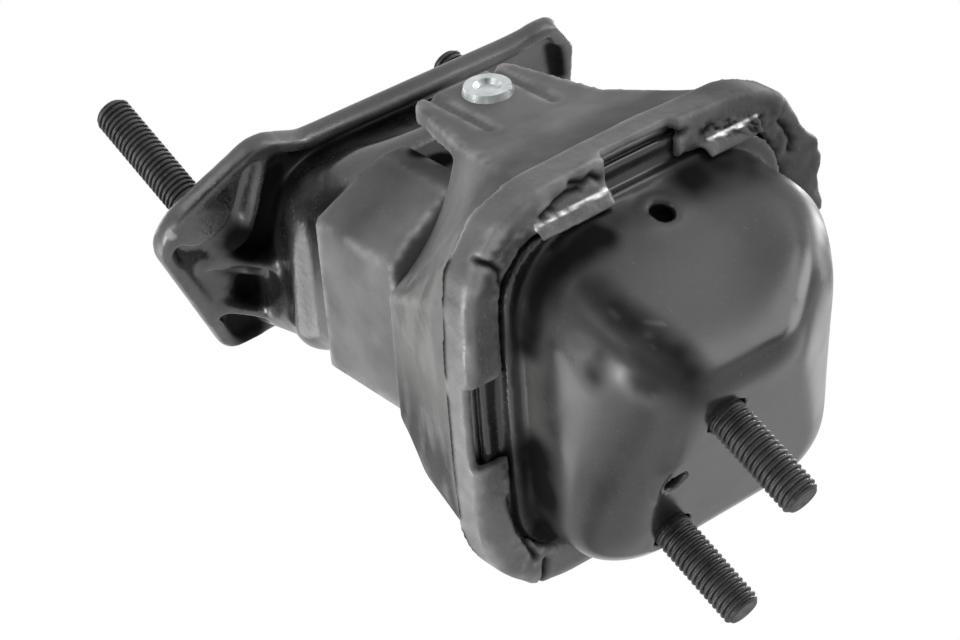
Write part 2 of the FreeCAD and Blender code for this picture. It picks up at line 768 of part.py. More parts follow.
# Fluid track levels along the body axis
track_split = flange_face - track_lower_height
track_top = track_split - track_upper_height
decoupler_roof = track_split - decoupler_thickness / 2 - decoupler_clearance
decoupler_floor = track_split + decoupler_thickness / 2 + decoupler_clearance
diaphragm_bead_height = cup_step_height - cup_sheet - stack_face
lower_stud_places = (
    (lower_stud_spacing / 2, 0.0),
    (-lower_stud_spacing / 2, 0.0),
)

pieces = {
    "upper_bracket": make_bracket(),
    "upper_stud_front": make_upper_stud(*upper_stud_places[0]),
    "upper_stud_rear": make_upper_stud(*upper_stud_places[1]),
    "snubber_sleeve": make_sleeve(),
    "rubber_spring": make_spring(),
    "crimped_housing": in_body(make_housing()),
    "rubber_shield": in_body(make_shield()),
    "shield_rivet": in_body(make_rivet()),
    "track_upper": in_body(make_track_upper()),
    "track_lower": in_body(make_track_lower()),
    "decoupler_disc": in_body(make_decoupler()),
    "diaphragm": in_body(make_diaphragm()),
    "lower_cup": make_cup(),
    "lower_stud_front": make_lower_stud(*lower_stud_places[0]),
    "lower_stud_rear": make_lower_stud(*lower_stud_places[1]),
}
for name, shape in pieces.items():
    shape.exportStep("parts/" + name + ".step")
    box_of = shape.BoundBox
    print(name, shape.isValid(), len(shape.Solids), round(shape.Volume), "mm3",
          "%.1f..%.1f %.1f..%.1f %.1f..%.1f" % (box_of.XMin, box_of.XMax, box_of.YMin,
                                               box_of.YMax, box_of.ZMin, box_of.ZMax))
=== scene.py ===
# %% [markdown]
# # Hydraulic engine mount: the looks
#
# The CAD model gives every piece its size and place. This scene dresses those pieces:
# paint, rubber, plated steel, rolled threads and the rough hand of the crimping press.
# The scene works in metres, in the same frame as the CAD model. Places that are given one by one
# are written in millimetres, as on a drawing, and are turned into metres where they are used.

# %% Set-up
import math

import bmesh
import bpy
import numpy as np
from mathutils import Matrix, Vector, noise


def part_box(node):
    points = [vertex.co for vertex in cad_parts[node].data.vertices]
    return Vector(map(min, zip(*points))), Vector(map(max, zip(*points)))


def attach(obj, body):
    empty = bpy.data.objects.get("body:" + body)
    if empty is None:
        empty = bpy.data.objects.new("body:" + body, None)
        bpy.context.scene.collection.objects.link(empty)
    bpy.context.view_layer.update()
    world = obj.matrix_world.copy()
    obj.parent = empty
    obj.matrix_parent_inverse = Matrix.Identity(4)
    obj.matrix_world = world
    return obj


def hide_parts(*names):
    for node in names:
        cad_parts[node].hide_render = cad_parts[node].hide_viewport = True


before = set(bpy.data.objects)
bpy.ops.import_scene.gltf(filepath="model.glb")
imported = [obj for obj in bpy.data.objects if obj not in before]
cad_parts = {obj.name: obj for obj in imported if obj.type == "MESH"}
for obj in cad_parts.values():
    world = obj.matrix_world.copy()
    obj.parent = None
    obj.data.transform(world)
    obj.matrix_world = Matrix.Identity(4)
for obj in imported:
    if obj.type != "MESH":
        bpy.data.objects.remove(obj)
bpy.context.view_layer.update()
scene = bpy.context.scene
MM = 0.001
print("CAD nodes:", len(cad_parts))

# %% [markdown]
# ## Camera
#
# The picture looks up at the mount from below its lower studs, with a long lens,
# so parallel edges stay almost parallel. The camera is rolled to lay the part across the frame.
# Standard view keeps a material's grey about as it is written.

# %% Camera
camera_data = bpy.data.cameras.new("camera")
camera_data.lens = 106.54
camera_data.sensor_width = 36
camera = bpy.data.objects.new("camera", camera_data)
camera.location = (0.51133, -0.35918, -0.19294)
camera.rotation_euler = [math.radians(a) for a in (118.786, 37.647, 74.769)]
scene.collection.objects.link(camera)
scene.camera = camera
scene.view_settings.view_transform = "Standard"
print("camera distance:", round(camera.location.length, 3))

# %% [markdown]
# ## Studio
#
# The mount is shown in a white room. A large soft panel on each side draws the long pale bands
# on the cup's bends; the weaker ones fill the front, the back and the top.

# %% Soft panels
PART_MIDDLE = Vector((-0.02, 0.02, 0.06))


def soft_panel(name, place, side, watts):
    """A square lamp that faces the middle of the part."""
    lamp = bpy.data.lights.new(name, "AREA")
    lamp.size = side
    lamp.energy = watts
    panel = bpy.data.objects.new(name, lamp)
    panel.location = place
    panel.rotation_euler = (PART_MIDDLE - Vector(place)).to_track_quat("-Z", "Y").to_euler()
    scene.collection.objects.link(panel)
    return watts


power = [
    soft_panel("left", (-0.30, -1.05, 0.10), 0.5, 6.5),
    soft_panel("right", (-0.25, 1.05, 0.28), 0.5, 7),
    soft_panel("right_low", (0.60, 1.05, -0.10), 0.5, 3),
    soft_panel("front", (0.95, 0.72, 0.18), 0.5, 1.6),
    soft_panel("back", (-0.95, -0.66, 0.40), 0.5, 1.6),
    soft_panel("key", (0.85, -0.78, 0.62), 0.5, 1.3),
    soft_panel("top", (-0.50, -0.20, 1.10), 0.6, 2.2),
]
print("panels:", len(power), "with", round(sum(power), 1), "W in all")

# %% [markdown]
# The white world lights the part at half strength. Rays from the camera, from gloss and from
# anything clear see it at full white, so the background is plain white and gloss paint reflects
# a white room.

# %% World
world = bpy.data.worlds.new("studio")
scene.world = world
world.use_nodes = True
sky = world.node_tree
sky.nodes.clear()


def white_light(strength):
    node = sky.nodes.new("ShaderNodeBackground")
    node.inputs["Color"].default_value = (1, 1, 1, 1)
    node.inputs["Strength"].default_value = strength
    return node.outputs["Background"]


def either(a, b):
    node = sky.nodes.new("ShaderNodeMath")
    node.operation = "MAXIMUM"
    sky.links.new(a, node.inputs[0])
    sky.links.new(b, node.inputs[1])
    return node.outputs["Value"]


rays = sky.nodes.new("ShaderNodeLightPath")
seen = either(rays.outputs["Is Camera Ray"], rays.outputs["Is Glossy Ray"])
seen = either(seen, rays.outputs["Is Transmission Ray"])
switch = sky.nodes.new("ShaderNodeMixShader")
sky.links.new(seen, switch.inputs["Fac"])
sky.links.new(white_light(0.5), switch.inputs[1])
sky.links.new(white_light(1.0), switch.inputs[2])
world_out = sky.nodes.new("ShaderNodeOutputWorld")
sky.links.new(switch.outputs["Shader"], world_out.inputs["Surface"])
print("world nodes:", len(sky.nodes))

# %% [markdown]
# Gloss paint shows the room as much as the lamps. A dark card behind the camera gives the black
# reflections on the surfaces that face the lens, as the opening of a light tent does. Only
# reflections see it. The floor lies well under the part, because a mount hangs between an engine
# and a frame and is shown held by its studs.

# %% Dark card and floor
def plain_material(name, value, rough):
    """An even grey for things that only stand round the part."""
    material = bpy.data.materials.new(name)
    material.use_nodes = True
    shader = material.node_tree.nodes["Principled BSDF"]
    shader.inputs["Base Color"].default_value = (value, value, value, 1)
    shader.inputs["Roughness"].default_value = rough
    return material


card_mesh = bpy.data.meshes.new("dark_card")
bm = bmesh.new()
bmesh.ops.create_circle(bm, cap_ends=True, segments=48, radius=0.6)
bm.to_mesh(card_mesh)
bm.free()
card_mesh.materials.append(plain_material("dark_cloth", 0.01, 0.5))
card = bpy.data.objects.new("dark_card", card_mesh)
card.location = camera.location * 1.5
card.rotation_euler = camera.location.to_track_quat("Z", "Y").to_euler()
card.visible_camera = False
card.visible_diffuse = False
card.visible_shadow = False
scene.collection.objects.link(card)

FLOOR_Z = -0.3
floor_mesh = bpy.data.meshes.new("floor")
floor_corners = [(x, y, FLOOR_Z) for x, y in ((-3, -3), (3, -3), (3, 3), (-3, 3))]
floor_mesh.from_pydata(floor_corners, [], [(0, 1, 2, 3)])
floor_mesh.materials.append(plain_material("floor", 0.8, 0.9))
floor = bpy.data.objects.new("floor", floor_mesh)
scene.collection.objects.link(floor)
print("floor at z", FLOOR_Z)

# %% [markdown]
# ## How a finish is made
#
# No real surface has one flat colour. Every finish here starts from the same recipe: a tone
# that wanders between two greys, a roughness that wanders between two values, a paler tone where
# an edge is rubbed, dust, and a fine bump. What differs from one to the next is the scale.

# %% Noise and maths for finishes
def wander(tree, scale, detail, low, high, source, spread_from=(0.35, 0.65)):
    """Noise of that scale, spread from low to high."""
    texture = tree.nodes.new("ShaderNodeTexNoise")
    texture.inputs["Scale"].default_value = scale
    texture.inputs["Detail"].default_value = detail
    tree.links.new(source, texture.inputs["Vector"])
    spread = tree.nodes.new("ShaderNodeMapRange")
    spread.inputs["From Min"].default_value = spread_from[0]
    spread.inputs["From Max"].default_value = spread_from[1]
    spread.inputs["To Min"].default_value = low
    spread.inputs["To Max"].default_value = high
    tree.links.new(texture.outputs["Fac"], spread.inputs["Value"])
    return spread.outputs["Result"]


def combine(tree, kind, a, b):
    """Adds, multiplies or takes the larger of two values."""
    node = tree.nodes.new("ShaderNodeMath")
    node.operation = kind
    tree.links.new(a, node.inputs[0])
    if isinstance(b, float):
        node.inputs[1].default_value = b
    else:
        tree.links.new(b, node.inputs[1])
    return node.outputs["Value"]


def blend(tree, share, a, b):
    """Colour a turning to colour b by a share."""
    mix = tree.nodes.new("ShaderNodeMix")
    mix.data_type = "RGBA"
    tree.links.new(share, mix.inputs["Factor"])
    for socket, colour in (("A", a), ("B", b)):
        if isinstance(colour, tuple):
            mix.inputs[socket].default_value = (*colour, 1)
        else:
            tree.links.new(colour, mix.inputs[socket])
    return mix.outputs["Result"]


def marked(tree, name):
    """A mark kept on the mesh's points, 0 where the mesh has none."""
    node = tree.nodes.new("ShaderNodeAttribute")
    node.attribute_name = name
    return node.outputs["Fac"]


print("a mark is a value from 0 to 1 on each point of a mesh")

# %% [markdown]
# Some wear, and some painted light and shade, belong to a place and not to the whole piece: a
# scuff, a pale painted sheen, soot, painted shade in a corner, metal that a tool laid bare. Those
# are marks on the points of the mesh. A finish lists the marks it listens to, and has no node for
# the others.

# %% One finish
# The scuff colour also paints pale painted light, and the soot colour also paints painted shade.
DUST = (0.33, 0.32, 0.3)
SCUFF_AND_PAINTED_LIGHT = (0.28, 0.28, 0.27)
SOOT_AND_PAINTED_SHADE = (0.004, 0.004, 0.004)
BARE_STEEL = (0.72, 0.71, 0.69)


def finish(name, dark, light, rough, patch, grain, bump, bump_mm, metallic=0.0,
           worn=None, dust=0.0, gloss=0.5, marks=()):
    """Tone from dark to light, roughness over a span, worn edges, dust, and the named marks."""
    material = bpy.data.materials.new(name)
    material.use_nodes = True
    tree = material.node_tree
    shader = tree.nodes["Principled BSDF"]
    place = tree.nodes.new("ShaderNodeTexCoord").outputs["Object"]

    tone = blend(tree, wander(tree, patch, 6, 0, 1, place), dark, light)
    rub = combine(tree, "MULTIPLY", marked(tree, "edge"), wander(tree, grain / 5, 4, 0, 1, place))
    tone = blend(tree, rub, tone, worn or tuple(2.2 * c + 0.02 for c in light))
    specks = wander(tree, 1300, 2, 0, dust, place, (0.66, 0.72))
    haze = wander(tree, 35, 7, 0, dust * 0.35, place, (0.45, 0.75))
    film = combine(tree, "MAXIMUM", specks, haze)
    tone = blend(tree, film, tone, DUST)

    shader.inputs["Metallic"].default_value = metallic
    shader.inputs["Specular IOR Level"].default_value = gloss
    # The scuff mark holds real scuffs and pale painted light.
    if "scuff_and_painted_light" in marks:
        scuff_and_painted_light = marked(tree, "scuff_and_painted_light")
        tone = blend(tree, scuff_and_painted_light, tone, SCUFF_AND_PAINTED_LIGHT)
        film = combine(tree, "ADD", film, scuff_and_painted_light)
    # The soot mark holds real soot and painted shade: near-black, duller and with less gloss.
    if "soot_and_painted_shade" in marks:
        soot_and_painted_shade = marked(tree, "soot_and_painted_shade")
        tone = blend(tree, soot_and_painted_shade, tone, SOOT_AND_PAINTED_SHADE)
        film = combine(tree, "ADD", film, soot_and_painted_shade)
        shine = tree.nodes.new("ShaderNodeMapRange")
        shine.inputs["To Min"].default_value = gloss
        shine.inputs["To Max"].default_value = 0.1 * gloss
        tree.links.new(soot_and_painted_shade, shine.inputs["Value"])
        tree.links.new(shine.outputs["Result"], shader.inputs["Specular IOR Level"])
    if "bare" in marks:
        bare = marked(tree, "bare")
        tone = blend(tree, bare, tone, BARE_STEEL)
        tree.links.new(bare, shader.inputs["Metallic"])
    tree.links.new(tone, shader.inputs["Base Color"])

    polish = wander(tree, patch * 1.7, 5, rough[0], rough[1], place)
    dull = combine(tree, "MULTIPLY", film, 0.45)
    tree.links.new(combine(tree, "ADD", polish, dull), shader.inputs["Roughness"])
    relief = tree.nodes.new("ShaderNodeBump")
    relief.inputs["Strength"].default_value = bump
    relief.inputs["Distance"].default_value = bump_mm * MM
    tree.links.new(wander(tree, grain, 3, 0, 1, place), relief.inputs["Height"])
    tree.links.new(relief.outputs["Normal"], shader.inputs["Normal"])
    print(name, "nodes:", len(tree.nodes))
    return material


def grey(value):
    return (value, value, value)


# %% [markdown]
# ## Paints
#
# The bracket and the cup are dipped in black gloss paint. On the bracket it lies over the grain
# of the sand mould, on the cup over smooth sheet. The can's coat is thinner and matter, and the
# crimping press has rubbed it.

# %% Paints
cast_paint = finish("cast_paint", grey(0.006), grey(0.014), (0.2, 0.36), patch=45, grain=500,
                    bump=0.3, bump_mm=0.1, worn=grey(0.09), dust=0.2, gloss=1.0,
                    marks=("scuff_and_painted_light", "soot_and_painted_shade"))
press_paint = finish("press_paint", grey(0.003), grey(0.007), (0.19, 0.27), patch=30, grain=220,
                     bump=0.1, bump_mm=0.05, worn=grey(0.05), dust=0.1, gloss=0.75,
                     marks=("scuff_and_painted_light", "soot_and_painted_shade"))
crimp_paint = finish("crimp_paint", grey(0.05), grey(0.085), (0.3, 0.45), patch=90, grain=600,
                     bump=0.4, bump_mm=0.1, worn=grey(0.2), dust=0.35, gloss=0.9,
                     marks=("soot_and_painted_shade", "bare"))

# %% [markdown]
# ## Rubbers
#
# Moulded rubber is matte and holds dust. The sleeve has the palest bloom; the spring inside
# stays dark, because no air or light reaches it.

# %% Rubbers
shield_rubber = finish("shield_rubber", grey(0.085), grey(0.13), (0.5, 0.65), patch=70, grain=800,
                       bump=0.3, bump_mm=0.05, dust=0.3, marks=("scuff_and_painted_light", "soot_and_painted_shade"))
sleeve_rubber = finish("sleeve_rubber", grey(0.11), grey(0.18), (0.6, 0.8), patch=60, grain=800,
                       bump=0.3, bump_mm=0.05, dust=0.35, marks=("soot_and_painted_shade",))
spring_rubber = finish("spring_rubber", grey(0.03), grey(0.05), (0.5, 0.7), patch=60, grain=800,
                       bump=0.3, bump_mm=0.05, dust=0.1)

# %% [markdown]
# ## Plated and plain metal
#
# The rivet is zinc plated. The studs are phosphated, a dark crystal layer that holds oil. The
# inertia track inside is bare metal.

# %% Metals
zinc = finish("zinc", (0.5, 0.52, 0.53), (0.66, 0.68, 0.68), (0.25, 0.42), patch=300, grain=1800,
              bump=0.3, bump_mm=0.03, metallic=1.0, worn=(0.8, 0.81, 0.8), dust=0.15)
phosphate = finish("phosphate", grey(0.035), grey(0.065), (0.4, 0.55), patch=300, grain=2500,
                   bump=0.3, bump_mm=0.02, metallic=0.6, worn=grey(0.3), dust=0.3)
track_metal = finish("track_metal", grey(0.35), grey(0.45), (0.35, 0.5), patch=80, grain=900,
                     bump=0.2, bump_mm=0.03, metallic=1.0)

# %% [markdown]
# ## Body axis
#
# The round body leans away from the studs. Its own frame has three directions: across, up
# the leaning face, and out of that face. Marks on the crimped joint are placed in them.

# %% Body frame
LEAN = math.radians(24.77)
BODY = np.array((
    (0, 1, 0),
    (math.cos(LEAN), 0, math.sin(LEAN)),
    (math.sin(LEAN), 0, -math.cos(LEAN)),
))
FACE_CENTRE = np.array((-2.1, 17.0, 36.6)) * MM


def to_body(points):
    """Across, up and out of points in the scene's frame, metres."""
    return (np.asarray(points) - FACE_CENTRE) @ BODY.T


def from_body(points):
    return np.asarray(points) @ BODY + FACE_CENTRE


print("face centre:", FACE_CENTRE)

# %% [markdown]
# ## Even skins
#
# Cast, moulded and pressed pieces have no sharp edge anywhere. Each of them is rebuilt from its
# CAD solid as an even skin of small squares, and the skin's points are then drawn towards their
# neighbours. Numpy arrays hold the points, because a loop over 80,000 of them would be slow.

# %% Points of a mesh
def read_points(mesh):
    flat = np.empty(len(mesh.vertices) * 3)
    mesh.vertices.foreach_get("co", flat)
    return flat.reshape(-1, 3)


def write_points(mesh, points):
    mesh.vertices.foreach_set("co", points.ravel())
    mesh.update()


def point_normals(mesh):
    flat = np.empty(len(mesh.vertices) * 3)
    mesh.vertices.foreach_get("normal", flat)
    return flat.reshape(-1, 3)


def mark(mesh, name, values):
    """Keeps a value from 0 to 1 for each point of the mesh."""
    layer = mesh.attributes.get(name) or mesh.attributes.new(name, "FLOAT", "POINT")
    layer.data.foreach_set("value", np.clip(values, 0, 1).astype(np.float32))


print("points of the cup's solid:", len(read_points(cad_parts["lower_cup"].data)))

# %% [markdown]
# Every smoothing step below needs the mean of each point's neighbours. Counting the edges at
# both of their ends gives it without a loop over the points.

# %% Neighbours
def neighbours(mesh):
    """Both ends of each edge, and how many edges meet at each point."""
    ends = np.empty(len(mesh.edges) * 2, dtype=np.int64)
    mesh.edges.foreach_get("vertices", ends)
    a, b = ends[0::2], ends[1::2]
    count = len(mesh.vertices)
    near = np.maximum(np.bincount(a, minlength=count) + np.bincount(b, minlength=count), 1)
    return a, b, near


def mean_of_near(column, links):
    a, b, near = links
    count = len(near)
    return (np.bincount(a, column[b], count) + np.bincount(b, column[a], count)) / near


def averaged(values, links, share, rounds):
    """Values of the points, drawn towards their neighbours' by a share in each round."""
    values = values.copy()
    for step in range(rounds):
        for axis in range(values.shape[1]):
            column = values[:, axis]
            values[:, axis] = column + share * (mean_of_near(column, links) - column)
    return values


print("edges of the cup's solid:", len(neighbours(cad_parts["lower_cup"].data)[0]))

# %% [markdown]
# Smoothing alone shrinks a piece. Relaxing pairs each smoothing step with a swelling one, which
# rounds the edges and keeps the size. Softening bends wide stretches of sheet, holds the places
# that must stay crisp, and gives back most of what it took. An edge that still stands proud of
# its neighbours is where paint wears first, so it is marked.

# %% Rounding over and worn edges
SMOOTH, SWELL = 0.5, -0.52
PULL = 0.6


def relax(mesh, rounds):
    """Rounds edges over without shrinking the piece."""
    points = read_points(mesh)
    links = neighbours(mesh)
    for step in range(rounds):
        for share in (SMOOTH, SWELL):
            points = averaged(points, links, share, 1)
    write_points(mesh, points)


def soften(mesh, rounds, give_back, hold=0.0):
    """Rounds the mesh over, less where hold is near 1, and gives back part of what it lost."""
    points = read_points(mesh)
    links = neighbours(mesh)
    smooth = averaged(points, links, PULL * (1 - hold), rounds)
    lost = averaged(smooth - points, links, PULL, rounds)
    write_points(mesh, smooth - give_back * (lost.T * (1 - hold)).T)


def find_edges(mesh, reach_mm):
    """Marks the points that stand proud of their neighbours, in full at that reach."""
    points = read_points(mesh)
    links = neighbours(mesh)
    mean = points
    for step in range(3):
        mean = np.stack([mean_of_near(column, links) for column in mean.T], axis=1)
    proud = np.einsum("ij,ij->i", points - mean, point_normals(mesh))
    mark(mesh, "edge", proud / (reach_mm * MM))


print("one pair of relaxing steps keeps", round((1 - SMOOTH) * (1 - SWELL), 2), "of a sharp corner")

# %% [markdown]
# A CAD solid has long thin faces that can't bend. The remesh modifier fills its shape with cubes
# and wraps them in squares of one size. Closed bars can be joined to the copy first, and the
# wrap then melts them into it without a seam. The CAD mesh itself is never touched.

# %% Skin maker
def add_bar(mesh, ring, far_ring):
    """Adds a closed bar between two rings with as many points each."""
    bm = bmesh.new()
    bm.from_mesh(mesh)
    near = [bm.verts.new(place) for place in ring]
    far = [bm.verts.new(place) for place in far_ring]
    faces = [bm.faces.new(near), bm.faces.new(far[::-1])]
    for i in range(len(near)):
        j = (i + 1) % len(near)
        faces.append(bm.faces.new((near[i], near[j], far[j], far[i])))
    bmesh.ops.recalc_face_normals(bm, faces=faces)
    bm.to_mesh(mesh)
    bm.free()


def even_skin(node, name, square_mm, rounds, material, bars=()):
    """A relaxed copy of a CAD node made of squares of that side, standing in for the node."""
    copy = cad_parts[node].copy()
    copy.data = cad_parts[node].data.copy()
    copy.parent = None
    copy.matrix_world = Matrix.Identity(4)
    scene.collection.objects.link(copy)
    for ring, far_ring in bars:
        add_bar(copy.data, ring, far_ring)
    remesh = copy.modifiers.new("squares", "REMESH")
    remesh.mode = "VOXEL"
    remesh.voxel_size = square_mm * MM
    graph = bpy.context.evaluated_depsgraph_get()
    mesh = bpy.data.meshes.new_from_object(copy.evaluated_get(graph))
    bpy.data.objects.remove(copy)
    relax(mesh, rounds)
    find_edges(mesh, 0.25 * square_mm)
    mesh.name = name
    mesh.materials.clear()
    mesh.materials.append(material)
    mesh.polygons.foreach_set("use_smooth", [True] * len(mesh.polygons))
    skin = bpy.data.objects.new(name, mesh)
    scene.collection.objects.link(skin)
    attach(skin, "root")
    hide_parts(node)
    print(name, "faces:", len(mesh.polygons))
    return skin


# %% [markdown]
# ## Places on a skin
#
# Marks and dents need to know how far each point is from a place. A broken line through a few
# points is enough for a crack, a ridge or a dull strip. Smooth noise then breaks up anything
# that would look drawn.

# %% Distance, rise and ripple
def away_from(points, path):
    """Distance of the points, in metres, from a broken line given in millimetres."""
    path = np.array(path, dtype=float) * MM
    best = np.linalg.norm(points - path[0], axis=1)
    for start, end in zip(path[:-1], path[1:]):
        line = end - start
        share = np.clip((points - start) @ line / (line @ line), 0, 1)
        best = np.minimum(best, np.linalg.norm(points - start - share[:, None] * line, axis=1))
    return best


def along_path(points, path, reach_mm):
    """1 on the broken line, falling smoothly to 0 at that reach."""
    x = np.clip(1 - away_from(points, path) / (reach_mm * MM), 0, 1)
    return x * x * (3 - 2 * x)


def bell(distance, width_mm):
    """1 at no distance, falling off on both sides like a bell."""
    return np.exp(-(distance / (width_mm * MM)) ** 2)


def rise(values, zero_at, one_at):
    """0 at one measure in millimetres and 1 at another, with a straight rise between them."""
    return np.clip((values / MM - zero_at) / (one_at - zero_at), 0, 1)


def ripple(points, size_mm, seed):
    """Smooth noise from -1 to 1 with features of that size."""
    shift = Vector((seed * 7.1, seed * 3.3, seed * 5.7))
    return np.array([noise.noise(Vector(point) / (size_mm * MM) + shift) for point in points])


print("half way up a rise from 2 to 6 mm:", float(rise(np.array(4 * MM), 2, 6)))

# %% [markdown]
# ## Cast bracket
#
# One casting: a plate with a rim, webs in the pocket behind it, and a neck that runs down
# into the rubber. The webs end in the CAD solid at the neck's edge; on the real one they run
# out into it, and the plate's corner has a low pad. Both are upright blocks, joined before the
# skin is made.

# %% Casting's webs and pad
def block(outline, top, bottoms):
    """Both ends of an upright block, its underside at a height per corner."""
    high = [(x * MM, y * MM, top * MM) for x, y in outline]
    low = [(x * MM, y * MM, z * MM) for (x, y), z in zip(outline, bottoms)]
    return high, low


def web(x_rim, y_rim, x_neck, y_neck, neck_bottom):
    """A straight web that gets deeper from the rim to the neck."""
    outline = (
        (x_rim - WEB_HALF, y_rim), (x_rim + WEB_HALF, y_rim),
        (x_neck + WEB_HALF, y_neck), (x_neck - WEB_HALF, y_neck),
    )
    return block(outline, PAD_TOP, (137.0, 137.0, neck_bottom, neck_bottom))


WEB_HALF = 1.8
PAD_TOP = 140.5
PAD = ((-48.0, -43.5), (-52.0, -33.0), (-63.0, -20.0), (-77.0, -19.5), (-80.0, -27.0))
casting = even_skin(
    "upper_bracket", "bracket_casting", 0.9, 4, cast_paint,
    bars=(
        web(-52.8, -30.3, -64.0, -6.0, 127.0),
        web(-76.5, -26.0, -84.0, -5.0, 126.0),
        block(PAD, PAD_TOP, (138.2,) * len(PAD)),
    ),
)

# %% [markdown]
# Sand leaves a fillet in every inside corner of a casting, so its webs run softly into the pad,
# the rim and the neck. Two low ridges run down the neck.

# %% Casting's fillets and neck
NECK_RIDGES = (
    ((-26.0, -13.0, 131.0), (-44.0, -15.0, 124.0), (-58.5, -16.0, 117.0), (-72.0, -14.0, 111.0)),
    ((-24.0, -9.0, 126.0), (-13.0, 3.0, 121.0), (-10.5, 14.0, 119.0), (-9.5, 30.0, 118.0)),
)
RIDGE_REACH, RIDGE_HEIGHT, NECK_TOP = 9.0, 2.0, 136.0

soften(casting.data, 14, give_back=0.8)
for path in NECK_RIDGES:
    cast_points = read_points(casting.data)
    swell = along_path(cast_points, path, RIDGE_REACH) * (cast_points[:, 2] < NECK_TOP * MM)
    lift = RIDGE_HEIGHT * MM * swell
    write_points(casting.data, cast_points + point_normals(casting.data) * lift[:, None])
soften(casting.data, 6, give_back=0.8)
print("ridges:", len(NECK_RIDGES))

# %% [markdown]
# The deep corners of the pocket are painted black as painted shade, where no light reaches. The
# plate's top face lies open, so nothing above its underside is darkened. One chip on the rim shows
# pale.

# %% Casting's painted shade in corners, and chip
SHADED_CORNERS = (
    (((-31.0, -14.5, 140.0), (-42.0, -15.0, 139.5), (-56.0, -14.5, 138.5)), 7.0),
    (((-47.0, -25.0, 136.0), (-54.0, -20.0, 137.0)), 8.0),
    (((-70.0, -17.0, 138.5), (-76.0, -15.0, 138.5)), 6.5),
    (((-88.0, -15.0, 139.5), (-97.0, -11.0, 139.5)), 9.0),
    (((-25.0, -8.0, 139.5), (-23.5, 12.0, 139.5), (-24.0, 62.0, 139.5)), 5.0),
    (((-29.0, 79.0, 139.0), (-42.0, 84.5, 139.0)), 4.0),
)
CHIP = ((-34.0, -47.0, 137.0), (-33.0, -49.0, 138.0))
POCKET_TOP = 140.9

cast_points = read_points(casting.data)
corners = np.maximum.reduce([along_path(cast_points, *corner) for corner in SHADED_CORNERS])
in_pocket = cast_points[:, 2] < POCKET_TOP * MM
# The soot mark in the pocket holds painted shade only.
mark(casting.data, "soot_and_painted_shade", np.clip(1.8 * corners, 0, 1) * in_pocket)
mark(casting.data, "scuff_and_painted_light", 2 * along_path(cast_points, CHIP, 1.6))
find_edges(casting.data, 0.3)
print("dark corners:", len(SHADED_CORNERS))

# %% [markdown]
# ## Rubber sleeve
#
# A thick moulded sleeve is pushed over the neck and takes the knock when the engine lifts. Its
# corners are well rounded. The upper front is darkened with painted shade from the flap, and the
# gap under the flap is painted black as painted shade.

# %% Sleeve
sleeve = even_skin("snubber_sleeve", "snubber_skin", 0.9, 14, sleeve_rubber)
GAP_UNDER_FLAP = ((-1.5, 4.0, 109.5), (-4.5, 8.5, 107.0))
sleeve_points = read_points(sleeve.data)
shaded = rise(sleeve_points[:, 2], 92, 104) * rise(sleeve_points[:, 0], -22, -10)
gap_shade = along_path(sleeve_points, GAP_UNDER_FLAP, 7.0)
# Painted shade: the upper front under the flap and the gap beneath it are darkened.
mark(sleeve.data, "soot_and_painted_shade", np.maximum(0.4 * shaded, 1.6 * gap_shade))
print("points under the flap:", int((gap_shade > 0).sum()))

# %% [markdown]
# ## Rubber shield
#
# The shield is moulded in two halves. Rubber squeezed out between them leaves a thin torn lip
# where the shield meets the crimp. It stands a little proud and its edge is uneven.

# %% Shield and its flash
shield = even_skin("rubber_shield", "shield_skin", 0.9, 10, shield_rubber)
shield_points = read_points(shield.data)
shield_body = to_body(shield_points)
across, up, out = shield_body.T
flash = rise(out, -10.9, -9.3) * (0.7 + 1.1 * ripple(shield_points, 5, 7)) * MM
write_points(shield.data, shield_points + point_normals(shield.data) * flash[:, None])
find_edges(shield.data, 0.2)
print("flash up to", round(float(flash.max()) / MM, 2), "mm")

# %% [markdown]
# The side wall carries streaks of painted light on its upper half and painted shade on its lower
# half. The pad over the crimp is a shade darker than the rest.

# %% Shield's painted light and shade
left_wall = rise(across, -36, -39) * rise(out, -12, -16)
low_wall = rise(up, 5, -20)
LONG_STREAKS = np.array((1, 0.4, 1))
streaks = ripple(shield_body * LONG_STREAKS, 5, 8) + 0.4 * ripple(shield_body, 1.8, 12)
# Pale painted light on the upper wall, and painted shade on the lower wall that faces down.
pale = 0.5 * left_wall * (1 - low_wall) * np.clip(1.6 * streaks + 0.45, 0, 1)
dark = 0.55 * left_wall * low_wall * np.clip(0.8 + streaks, 0, 1)
top_pad = rise(up, 40, 45) * rise(out, -28, -20)
mark(shield.data, "scuff_and_painted_light", pale)
mark(shield.data, "soot_and_painted_shade", np.maximum(dark, 0.3 * top_pad))
print("palest smear:", round(float(pale.max()), 2))

# %% [markdown]
# ## Crimped can
#
# The can's skirt is folded over the cup's flange cold, in one stroke of a press. The two upper
# tabs curl up where the punch let go of them. Their lips are bars, joined before the skin is
# made. The skin's squares are smaller here, because the folds are tight.

# %% Can with curled lips
def lip(section, across_from, across_to):
    """Both ends of a bar along the joint's upper side, its section given up and out."""
    ends = []
    for across_mm in (across_from, across_to):
        ends.append(from_body([(across_mm * MM, up_mm * MM, out_mm * MM)
                               for up_mm, out_mm in section]))
    return ends


CURL = ((47.0, -2.0), (44.7, -2.0), (44.7, 1.1), (43.1, 2.6), (43.5, 3.9), (45.4, 1.9),
        (47.0, -0.2))
can = even_skin("crimped_housing", "crimped_can", 0.8, 6, crimp_paint,
                bars=(lip(CURL, -33.0, -11.2), lip(CURL, 18.5, 36.0)))

# %% [markdown]
# The sheet gathers into pinches where the bend turns a corner, its sheared edge stays ragged,
# and the paint cracks where the tool bore hardest. Places are in millimetres across and up the
# joint's face. Everything is added up in one push along each point's normal.

